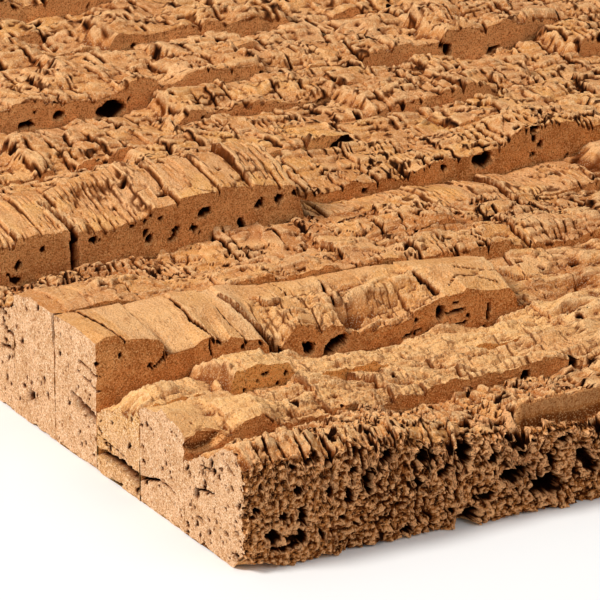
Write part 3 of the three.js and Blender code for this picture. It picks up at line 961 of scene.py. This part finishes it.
def cork_material():
    material = bpy.data.materials.new("cork_bark")
    n = Nodes(material)
    coordinates = n.add("ShaderNodeTexCoord").outputs["Object"]
    stretched = n.add("ShaderNodeMapping", Vector=coordinates, Scale=(1.0, 0.22, 0.6)).outputs["Vector"]
    names = "dark plate warm red pale cream kind relief steep".split()
    dark, plate, warm, red, pale, cream, kind, relief, steep = (n.attribute(name) for name in names)
    broad = n.noise(coordinates, scale=55, detail=4)
    patch = n.noise(coordinates, scale=190, detail=4)
    fibre = n.noise(stretched, scale=900, detail=4, rough=0.6)
    grain = n.noise(coordinates, scale=1000, detail=3, rough=0.65)
    speck = n.noise(coordinates, scale=2300, detail=2, rough=0.6)
    pore = n.noise(coordinates, scale=700, detail=2, rough=0.5)

    bark = n.mix(n.span(patch, 0.38, 0.62), (0.72, 0.325, 0.11), (0.9, 0.48, 0.205))
    bark = n.mix(n.math("MULTIPLY", warm, n.span(broad, 0.42, 0.6)), bark, (0.84, 0.42, 0.125))
    bark = n.coats(
        bark,
        (plate, 0.4, 1.0, 0.55, (0.94, 0.56, 0.29)),
        (plate, 0.45, 0.0, 0.45, (0.66, 0.27, 0.08)))
    bark = n.mix(cream, bark, (0.98, 0.59, 0.255))
    # Red-brown patches of the bark; in the ridge strip's low recess the same tint is painted shade.
    bark = n.mix(n.math("MULTIPLY", red, n.span(broad, 0.62, 0.44, 0.0, 0.8)), bark, (0.5, 0.175, 0.046))
    bark = n.coats(
        bark,
        # Painted shade on steep slopes.
        (steep, 0.0, 0.22, 0.55, (0.56, 0.21, 0.054)),
        # Painted highlight on raised points and painted shade in hollows.
        (relief, 0.05, 0.7, 0.5, (1.0, 0.66, 0.34)),
        (relief, -0.1, -0.8, 0.9, (0.19, 0.04, 0.004)),
        # Stronger painted shade on the steepest slopes.
        (steep, 0.3, 0.95, 0.85, (0.26, 0.07, 0.012)),
        (fibre, 0.54, 0.7, 0.55, (0.38, 0.125, 0.028)),
        (speck, 0.54, 0.7, 0.6, (0.36, 0.115, 0.024)),
        (speck, 0.46, 0.32, 0.5, (1.0, 0.74, 0.46)))

    # Sawn faces are darker and more orange than the ends: partly their own colour, partly painted shade.
    sawn = n.mix(n.span(patch, 0.35, 0.65), (0.57, 0.225, 0.064), (0.77, 0.34, 0.11))
    sawn = n.mix(n.span(warm, 0.9, 1.0, 0, 0.95), sawn, (1.0, 0.5, 0.145))
    sawn = n.mix(pale, sawn, (0.96, 0.52, 0.22))
    sawn = n.coats(
        sawn,
        # Painted highlight on raised points and painted shade in hollows.
        (relief, 0.05, 0.7, 0.5, (0.95, 0.5, 0.21)),
        (relief, -0.05, -0.7, 0.9, (0.1, 0.024, 0.004)),
        (grain, 0.53, 0.68, 0.65, (0.24, 0.066, 0.01)),
        (speck, 0.53, 0.66, 0.75, (0.24, 0.066, 0.01)),
        (speck, 0.47, 0.34, 0.8, (1.0, 0.58, 0.25)))

    rind = n.mix(n.span(patch, 0.35, 0.65), (0.34, 0.114, 0.025), (0.62, 0.245, 0.068))
    rind = n.coats(
        rind,
        # Painted highlight on raised points and painted shade in hollows.
        (relief, 0.05, 0.5, 0.85, (1.0, 0.54, 0.25)),
        (relief, -0.02, -0.4, 0.98, (0.034, 0.004, 0.0003)),
        (grain, 0.53, 0.66, 0.7, (0.07, 0.016, 0.002)),
        (speck, 0.54, 0.68, 0.7, (0.08, 0.02, 0.003)),
        (speck, 0.46, 0.33, 0.6, (0.86, 0.47, 0.2)))

    end = n.mix(n.span(patch, 0.35, 0.65), (0.66, 0.37, 0.185), (0.82, 0.5, 0.285))
    yellow = n.math("MULTIPLY", n.span(warm, 0.9, 1.0), n.span(broad, 0.4, 0.6, 0.2, 0.7))
    end = n.mix(yellow, end, (0.78, 0.43, 0.15))
    end = n.coats(
        end,
        (grain, 0.54, 0.66, 0.75, (0.36, 0.14, 0.038)),
        (speck, 0.54, 0.66, 0.8, (0.32, 0.115, 0.03)),
        (speck, 0.46, 0.33, 0.8, (1.0, 0.8, 0.56)),
        (pore, 0.66, 0.74, 0.85, (0.18, 0.055, 0.012)))

    colour = bark
    for surface, number in ((sawn, SAWN), (end, END), (rind, RIND)):
        chosen = n.math("COMPARE", kind, number)
        chosen.node.inputs[2].default_value = KIND_TOLERANCE
        colour = n.mix(chosen, colour, surface)
    # Painted shade in cracks, pits, splits and at the feet of steps: dark brown, then near black.
    colour = n.coats(
        colour,
        (dark, 0.08, 0.5, 0.85, (0.17, 0.036, 0.004)),
        (dark, 0.3, 0.75, 0.98, (0.01, 0.002, 0.0003)))

    n.put(n.shader, "Base Color", colour)
    n.put(n.shader, "Roughness", n.span(grain, 0.3, 0.7, 0.78, 0.96))
    n.put(n.shader, "Specular IOR Level", 0.04)
    fine = n.math("ADD", n.math("MULTIPLY", grain, 0.6), n.math("MULTIPLY", speck, 0.4))
    height = n.math("ADD", fine, n.math("MULTIPLY", fibre, 0.4))
    bump = n.add("ShaderNodeBump", Strength=0.9, Distance=0.0012, Height=height)
    n.put(n.shader, "Normal", bump.outputs["Normal"])
    return material


# The object

CLASSES = {1: FrontStrip, 4: RidgeStrip}
cork = cork_material()
count = len([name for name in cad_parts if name.startswith("bark_strip_")])
for number in range(1, count + 1):
    strip = CLASSES.get(number, Strip)(number)
    piece = build(strip)
    piece.data.materials.append(cork)
    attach(piece, "root")
    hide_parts(strip.name)


# Floor, light and camera

FLOOR_HALF = 6.0
FLOOR_DROP = 0.0002
LIGHT_DISTANCE = 3.0
SKY_STRENGTH = 0.38


def area_light(name, towards, size, power, colour):
    light = bpy.data.lights.new(name, "AREA")
    light.shape = "DISK"
    light.size = size
    light.energy = power
    light.color = colour
    lamp = placed(name, light)
    away = Vector(towards).normalized()
    lamp.location = away * LIGHT_DISTANCE
    lamp.rotation_euler = away.to_track_quat("Z", "Y").to_euler()


ground = bpy.data.meshes.new("floor")
corners = [(FLOOR_HALF * a, FLOOR_HALF * b, 0) for a, b in ((-1, -1), (1, -1), (1, 1), (-1, 1))]
ground.from_pydata(corners, [], [(0, 1, 2, 3)])
pale_floor = Nodes(bpy.data.materials.new("pale_floor"))
pale_floor.put(pale_floor.shader, "Base Color", (0.90, 0.94, 0.99, 1))
pale_floor.put(pale_floor.shader, "Roughness", 0.9)
ground.materials.append(bpy.data.materials["pale_floor"])
floor = placed("floor", ground)
floor.location.z = -FLOOR_DROP

area_light("key", (-0.72, 0.05, 0.69), size=0.8, power=82, colour=(1.0, 0.93, 0.84))
area_light("fill", (0.3, -0.8, 0.7), size=2.5, power=18, colour=(1.0, 0.95, 0.90))
world = bpy.data.worlds.new("studio")
scene.world = world
world.use_nodes = True
sky = world.node_tree.nodes["Background"].inputs
sky["Color"].default_value = (1.0, 0.98, 0.95, 1)
sky["Strength"].default_value = SKY_STRENGTH
scene.view_settings.view_transform = "Standard"

# The camera is set by where the slab's near lower corner stands in the photograph.
IMAGE_SIDE = 600
FOCAL_PIXELS = 5000.0
HEADING = math.radians(29.10)
PITCH = math.radians(19.78)
CORNER_PIXEL = (243.7, 575.1)
CORNER_DEPTH = 1.2749
SENSOR = 36.0
CLIP_END = 50.0

level = math.cos(PITCH)
forward = Vector((math.sin(HEADING) * level, math.cos(HEADING) * level, -math.sin(PITCH)))
right = Vector((math.cos(HEADING), -math.sin(HEADING), 0))
upward = right.cross(forward)
centre = IMAGE_SIDE / 2
ray = (forward + right * ((CORNER_PIXEL[0] - centre) / FOCAL_PIXELS)
       + upward * ((centre - CORNER_PIXEL[1]) / FOCAL_PIXELS))
corner = Vector((LEFT * MM, FRONT * MM, 0))
lens = bpy.data.cameras.new("camera")
lens.sensor_width = SENSOR
lens.lens = SENSOR * FOCAL_PIXELS / IMAGE_SIDE
lens.clip_end = CLIP_END
camera = placed("camera", lens)
turn = Matrix((right, upward, -forward)).transposed()
camera.matrix_world = Matrix.Translation(corner - ray * CORNER_DEPTH) @ turn.to_4x4()
scene.camera = camera

bpy.context.view_layer.update()
